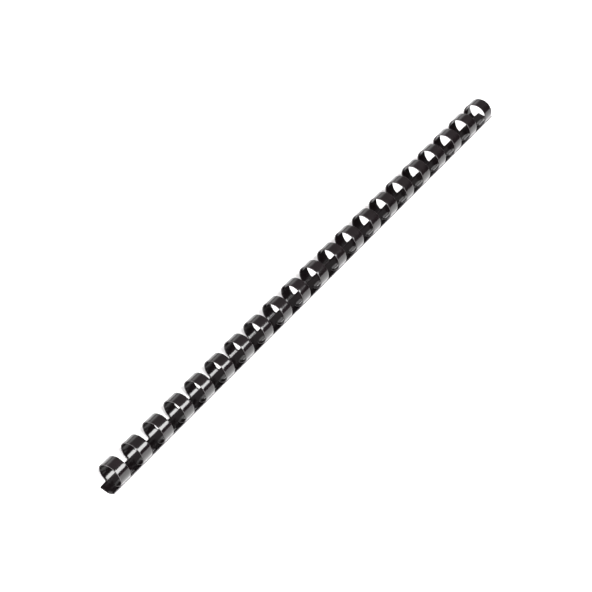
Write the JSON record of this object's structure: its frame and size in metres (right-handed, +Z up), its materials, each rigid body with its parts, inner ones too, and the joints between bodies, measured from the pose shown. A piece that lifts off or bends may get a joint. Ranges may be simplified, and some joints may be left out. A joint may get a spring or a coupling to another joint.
{
  "type": "plastic binding comb",
  "caption": "Black plastic binding comb: a curved spine strip with a row of springy curled fingers that open to take punched sheets and close inside the spine.",
  "frame": {"origin": "centre of the comb's bounding box in plan, on the surface it lies on", "axes": "+X along the spine, +Y towards the edge the fingers leave, +Z up from the spine to the tops of the rings"},
  "size_m": [0.2996, 0.0136, 0.0149],
  "materials": {
    "black_pvc": "glossy black PVC"
  },
  "bodies": {
    "spine": {"spine": "black_pvc"},
    "ring_01_arch": {"ring_01_arch": "black_pvc"},
    "ring_01_tip": {"ring_01_tip": "black_pvc"},
    "ring_02_arch": {"ring_02_arch": "black_pvc"},
    "ring_02_tip": {"ring_02_tip": "black_pvc"},
    "ring_03_arch": {"ring_03_arch": "black_pvc"},
    "ring_03_tip": {"ring_03_tip": "black_pvc"},
    "ring_04_arch": {"ring_04_arch": "black_pvc"},
    "ring_04_tip": {"ring_04_tip": "black_pvc"},
    "ring_05_arch": {"ring_05_arch": "black_pvc"},
    "ring_05_tip": {"ring_05_tip": "black_pvc"},
    "ring_06_arch": {"ring_06_arch": "black_pvc"},
    "ring_06_tip": {"ring_06_tip": "black_pvc"},
    "ring_07_arch": {"ring_07_arch": "black_pvc"},
    "ring_07_tip": {"ring_07_tip": "black_pvc"},
    "ring_08_arch": {"ring_08_arch": "black_pvc"},
    "ring_08_tip": {"ring_08_tip": "black_pvc"},
    "ring_09_arch": {"ring_09_arch": "black_pvc"},
    "ring_09_tip": {"ring_09_tip": "black_pvc"},
    "ring_10_arch": {"ring_10_arch": "black_pvc"},
    "ring_10_tip": {"ring_10_tip": "black_pvc"},
    "ring_11_arch": {"ring_11_arch": "black_pvc"},
    "ring_11_tip": {"ring_11_tip": "black_pvc"},
    "ring_12_arch": {"ring_12_arch": "black_pvc"},
    "ring_12_tip": {"ring_12_tip": "black_pvc"},
    "ring_13_arch": {"ring_13_arch": "black_pvc"},
    "ring_13_tip": {"ring_13_tip": "black_pvc"},
    "ring_14_arch": {"ring_14_arch": "black_pvc"},
    "ring_14_tip": {"ring_14_tip": "black_pvc"},
    "ring_15_arch": {"ring_15_arch": "black_pvc"},
    "ring_15_tip": {"ring_15_tip": "black_pvc"},
    "ring_16_arch": {"ring_16_arch": "black_pvc"},
    "ring_16_tip": {"ring_16_tip": "black_pvc"},
    "ring_17_arch": {"ring_17_arch": "black_pvc"},
    "ring_17_tip": {"ring_17_tip": "black_pvc"},
    "ring_18_arch": {"ring_18_arch": "black_pvc"},
    "ring_18_tip": {"ring_18_tip": "black_pvc"},
    "ring_19_arch": {"ring_19_arch": "black_pvc"},
    "ring_19_tip": {"ring_19_tip": "black_pvc"},
    "ring_20_arch": {"ring_20_arch": "black_pvc"},
    "ring_20_tip": {"ring_20_tip": "black_pvc"},
    "ring_21_arch": {"ring_21_arch": "black_pvc"},
    "ring_21_tip": {"ring_21_tip": "black_pvc"}
  },
  "joints": [
    {"name": "ring_01_root_flex", "type": "hinge", "parent": "spine", "child": "ring_01_arch", "pos_m": [-0.14288, 0.00487, 0.00148], "axis": [-1, 0, 0], "range_deg": [0, 50], "stiffness_Nm_per_rad": 0.008},
    {"name": "ring_01_curl_flex", "type": "hinge", "parent": "ring_01_arch", "child": "ring_01_tip", "pos_m": [-0.14288, -0.00306, 0.01457], "axis": [-1, 0, 0], "range_deg": [0, 50], "stiffness_Nm_per_rad": 0.008},
    {"name": "ring_02_root_flex", "type": "hinge", "parent": "spine", "child": "ring_02_arch", "pos_m": [-0.12859, 0.00487, 0.00148], "axis": [-1, 0, 0], "range_deg": [0, 50], "stiffness_Nm_per_rad": 0.008},
    {"name": "ring_02_curl_flex", "type": "hinge", "parent": "ring_02_arch", "child": "ring_02_tip", "pos_m": [-0.12859, -0.00306, 0.01457], "axis": [-1, 0, 0], "range_deg": [0, 50], "stiffness_Nm_per_rad": 0.008},
    {"name": "ring_03_root_flex", "type": "hinge", "parent": "spine", "child": "ring_03_arch", "pos_m": [-0.1143, 0.00487, 0.00148], "axis": [-1, 0, 0], "range_deg": [0, 50], "stiffness_Nm_per_rad": 0.008},
    {"name": "ring_03_curl_flex", "type": "hinge", "parent": "ring_03_arch", "child": "ring_03_tip", "pos_m": [-0.1143, -0.00306, 0.01457], "axis": [-1, 0, 0], "range_deg": [0, 50], "stiffness_Nm_per_rad": 0.008},
    {"name": "ring_04_root_flex", "type": "hinge", "parent": "spine", "child": "ring_04_arch", "pos_m": [-0.10001, 0.00487, 0.00148], "axis": [-1, 0, 0], "range_deg": [0, 50], "stiffness_Nm_per_rad": 0.008},
    {"name": "ring_04_curl_flex", "type": "hinge", "parent": "ring_04_arch", "child": "ring_04_tip", "pos_m": [-0.10001, -0.00306, 0.01457], "axis": [-1, 0, 0], "range_deg": [0, 50], "stiffness_Nm_per_rad": 0.008},
    {"name": "ring_05_root_flex", "type": "hinge", "parent": "spine", "child": "ring_05_arch", "pos_m": [-0.08572, 0.00487, 0.00148], "axis": [-1, 0, 0], "range_deg": [0, 50], "stiffness_Nm_per_rad": 0.008},
    {"name": "ring_05_curl_flex", "type": "hinge", "parent": "ring_05_arch", "child": "ring_05_tip", "pos_m": [-0.08572, -0.00306, 0.01457], "axis": [-1, 0, 0], "range_deg": [0, 50], "stiffness_Nm_per_rad": 0.008},
    {"name": "ring_06_root_flex", "type": "hinge", "parent": "spine", "child": "ring_06_arch", "pos_m": [-0.07144, 0.00487, 0.00148], "axis": [-1, 0, 0], "range_deg": [0, 50], "stiffness_Nm_per_rad": 0.008},
    {"name": "ring_06_curl_flex", "type": "hinge", "parent": "ring_06_arch", "child": "ring_06_tip", "pos_m": [-0.07144, -0.00306, 0.01457], "axis": [-1, 0, 0], "range_deg": [0, 50], "stiffness_Nm_per_rad": 0.008},
    {"name": "ring_07_root_flex", "type": "hinge", "parent": "spine", "child": "ring_07_arch", "pos_m": [-0.05715, 0.00487, 0.00148], "axis": [-1, 0, 0], "range_deg": [0, 50], "stiffness_Nm_per_rad": 0.008},
    {"name": "ring_07_curl_flex", "type": "hinge", "parent": "ring_07_arch", "child": "ring_07_tip", "pos_m": [-0.05715, -0.00306, 0.01457], "axis": [-1, 0, 0], "range_deg": [0, 50], "stiffness_Nm_per_rad": 0.008},
    {"name": "ring_08_root_flex", "type": "hinge", "parent": "spine", "child": "ring_08_arch", "pos_m": [-0.04286, 0.00487, 0.00148], "axis": [-1, 0, 0], "range_deg": [0, 50], "stiffness_Nm_per_rad": 0.008},
    {"name": "ring_08_curl_flex", "type": "hinge", "parent": "ring_08_arch", "child": "ring_08_tip", "pos_m": [-0.04286, -0.00306, 0.01457], "axis": [-1, 0, 0], "range_deg": [0, 50], "stiffness_Nm_per_rad": 0.008},
    {"name": "ring_09_root_flex", "type": "hinge", "parent": "spine", "child": "ring_09_arch", "pos_m": [-0.02857, 0.00487, 0.00148], "axis": [-1, 0, 0], "range_deg": [0, 50], "stiffness_Nm_per_rad": 0.008},
    {"name": "ring_09_curl_flex", "type": "hinge", "parent": "ring_09_arch", "child": "ring_09_tip", "pos_m": [-0.02857, -0.00306, 0.01457], "axis": [-1, 0, 0], "range_deg": [0, 50], "stiffness_Nm_per_rad": 0.008},
    {"name": "ring_10_root_flex", "type": "hinge", "parent": "spine", "child": "ring_10_arch", "pos_m": [-0.01429, 0.00487, 0.00148], "axis": [-1, 0, 0], "range_deg": [0, 50], "stiffness_Nm_per_rad": 0.008},
    {"name": "ring_10_curl_flex", "type": "hinge", "parent": "ring_10_arch", "child": "ring_10_tip", "pos_m": [-0.01429, -0.00306, 0.01457], "axis": [-1, 0, 0], "range_deg": [0, 50], "stiffness_Nm_per_rad": 0.008},
    {"name": "ring_11_root_flex", "type": "hinge", "parent": "spine", "child": "ring_11_arch", "pos_m": [0, 0.00487, 0.00148], "axis": [-1, 0, 0], "range_deg": [0, 50], "stiffness_Nm_per_rad": 0.008},
    {"name": "ring_11_curl_flex", "type": "hinge", "parent": "ring_11_arch", "child": "ring_11_tip", "pos_m": [0, -0.00306, 0.01457], "axis": [-1, 0, 0], "range_deg": [0, 50], "stiffness_Nm_per_rad": 0.008},
    {"name": "ring_12_root_flex", "type": "hinge", "parent": "spine", "child": "ring_12_arch", "pos_m": [0.01429, 0.00487, 0.00148], "axis": [-1, 0, 0], "range_deg": [0, 50], "stiffness_Nm_per_rad": 0.008},
    {"name": "ring_12_curl_flex", "type": "hinge", "parent": "ring_12_arch", "child": "ring_12_tip", "pos_m": [0.01429, -0.00306, 0.01457], "axis": [-1, 0, 0], "range_deg": [0, 50], "stiffness_Nm_per_rad": 0.008},
    {"name": "ring_13_root_flex", "type": "hinge", "parent": "spine", "child": "ring_13_arch", "pos_m": [0.02857, 0.00487, 0.00148], "axis": [-1, 0, 0], "range_deg": [0, 50], "stiffness_Nm_per_rad": 0.008},
    {"name": "ring_13_curl_flex", "type": "hinge", "parent": "ring_13_arch", "child": "ring_13_tip", "pos_m": [0.02857, -0.00306, 0.01457], "axis": [-1, 0, 0], "range_deg": [0, 50], "stiffness_Nm_per_rad": 0.008},
    {"name": "ring_14_root_flex", "type": "hinge", "parent": "spine", "child": "ring_14_arch", "pos_m": [0.04286, 0.00487, 0.00148], "axis": [-1, 0, 0], "range_deg": [0, 50], "stiffness_Nm_per_rad": 0.008},
    {"name": "ring_14_curl_flex", "type": "hinge", "parent": "ring_14_arch", "child": "ring_14_tip", "pos_m": [0.04286, -0.00306, 0.01457], "axis": [-1, 0, 0], "range_deg": [0, 50], "stiffness_Nm_per_rad": 0.008},
    {"name": "ring_15_root_flex", "type": "hinge", "parent": "spine", "child": "ring_15_arch", "pos_m": [0.05715, 0.00487, 0.00148], "axis": [-1, 0, 0], "range_deg": [0, 50], "stiffness_Nm_per_rad": 0.008},
    {"name": "ring_15_curl_flex", "type": "hinge", "parent": "ring_15_arch", "child": "ring_15_tip", "pos_m": [0.05715, -0.00306, 0.01457], "axis": [-1, 0, 0], "range_deg": [0, 50], "stiffness_Nm_per_rad": 0.008},
    {"name": "ring_16_root_flex", "type": "hinge", "parent": "spine", "child": "ring_16_arch", "pos_m": [0.07144, 0.00487, 0.00148], "axis": [-1, 0, 0], "range_deg": [0, 50], "stiffness_Nm_per_rad": 0.008},
    {"name": "ring_16_curl_flex", "type": "hinge", "parent": "ring_16_arch", "child": "ring_16_tip", "pos_m": [0.07144, -0.00306, 0.01457], "axis": [-1, 0, 0], "range_deg": [0, 50], "stiffness_Nm_per_rad": 0.008},
    {"name": "ring_17_root_flex", "type": "hinge", "parent": "spine", "child": "ring_17_arch", "pos_m": [0.08572, 0.00487, 0.00148], "axis": [-1, 0, 0], "range_deg": [0, 50], "stiffness_Nm_per_rad": 0.008},
    {"name": "ring_17_curl_flex", "type": "hinge", "parent": "ring_17_arch", "child": "ring_17_tip", "pos_m": [0.08572, -0.00306, 0.01457], "axis": [-1, 0, 0], "range_deg": [0, 50], "stiffness_Nm_per_rad": 0.008},
    {"name": "ring_18_root_flex", "type": "hinge", "parent": "spine", "child": "ring_18_arch", "pos_m": [0.10001, 0.00487, 0.00148], "axis": [-1, 0, 0], "range_deg": [0, 50], "stiffness_Nm_per_rad": 0.008},
    {"name": "ring_18_curl_flex", "type": "hinge", "parent": "ring_18_arch", "child": "ring_18_tip", "pos_m": [0.10001, -0.00306, 0.01457], "axis": [-1, 0, 0], "range_deg": [0, 50], "stiffness_Nm_per_rad": 0.008},
    {"name": "ring_19_root_flex", "type": "hinge", "parent": "spine", "child": "ring_19_arch", "pos_m": [0.1143, 0.00487, 0.00148], "axis": [-1, 0, 0], "range_deg": [0, 50], "stiffness_Nm_per_rad": 0.008},
    {"name": "ring_19_curl_flex", "type": "hinge", "parent": "ring_19_arch", "child": "ring_19_tip", "pos_m": [0.1143, -0.00306, 0.01457], "axis": [-1, 0, 0], "range_deg": [0, 50], "stiffness_Nm_per_rad": 0.008},
    {"name": "ring_20_root_flex", "type": "hinge", "parent": "spine", "child": "ring_20_arch", "pos_m": [0.12859, 0.00487, 0.00148], "axis": [-1, 0, 0], "range_deg": [0, 50], "stiffness_Nm_per_rad": 0.008},
    {"name": "ring_20_curl_flex", "type": "hinge", "parent": "ring_20_arch", "child": "ring_20_tip", "pos_m": [0.12859, -0.00306, 0.01457], "axis": [-1, 0, 0], "range_deg": [0, 50], "stiffness_Nm_per_rad": 0.008},
    {"name": "ring_21_root_flex", "type": "hinge", "parent": "spine", "child": "ring_21_arch", "pos_m": [0.14288, 0.00487, 0.00148], "axis": [-1, 0, 0], "range_deg": [0, 50], "stiffness_Nm_per_rad": 0.008},
    {"name": "ring_21_curl_flex", "type": "hinge", "parent": "ring_21_arch", "child": "ring_21_tip", "pos_m": [0.14288, -0.00306, 0.01457], "axis": [-1, 0, 0], "range_deg": [0, 50], "stiffness_Nm_per_rad": 0.008}
  ],
  "couplings": [
    {"joint": "ring_01_curl_flex", "follows": "ring_01_root_flex", "ratio": 1},
    {"joint": "ring_02_curl_flex", "follows": "ring_02_root_flex", "ratio": 1},
    {"joint": "ring_03_curl_flex", "follows": "ring_03_root_flex", "ratio": 1},
    {"joint": "ring_04_curl_flex", "follows": "ring_04_root_flex", "ratio": 1},
    {"joint": "ring_05_curl_flex", "follows": "ring_05_root_flex", "ratio": 1},
    {"joint": "ring_06_curl_flex", "follows": "ring_06_root_flex", "ratio": 1},
    {"joint": "ring_07_curl_flex", "follows": "ring_07_root_flex", "ratio": 1},
    {"joint": "ring_08_curl_flex", "follows": "ring_08_root_flex", "ratio": 1},
    {"joint": "ring_09_curl_flex", "follows": "ring_09_root_flex", "ratio": 1},
    {"joint": "ring_10_curl_flex", "follows": "ring_10_root_flex", "ratio": 1},
    {"joint": "ring_11_curl_flex", "follows": "ring_11_root_flex", "ratio": 1},
    {"joint": "ring_12_curl_flex", "follows": "ring_12_root_flex", "ratio": 1},
    {"joint": "ring_13_curl_flex", "follows": "ring_13_root_flex", "ratio": 1},
    {"joint": "ring_14_curl_flex", "follows": "ring_14_root_flex", "ratio": 1},
    {"joint": "ring_15_curl_flex", "follows": "ring_15_root_flex", "ratio": 1},
    {"joint": "ring_16_curl_flex", "follows": "ring_16_root_flex", "ratio": 1},
    {"joint": "ring_17_curl_flex", "follows": "ring_17_root_flex", "ratio": 1},
    {"joint": "ring_18_curl_flex", "follows": "ring_18_root_flex", "ratio": 1},
    {"joint": "ring_19_curl_flex", "follows": "ring_19_root_flex", "ratio": 1},
    {"joint": "ring_20_curl_flex", "follows": "ring_20_root_flex", "ratio": 1},
    {"joint": "ring_21_curl_flex", "follows": "ring_21_root_flex", "ratio": 1}
  ]
}
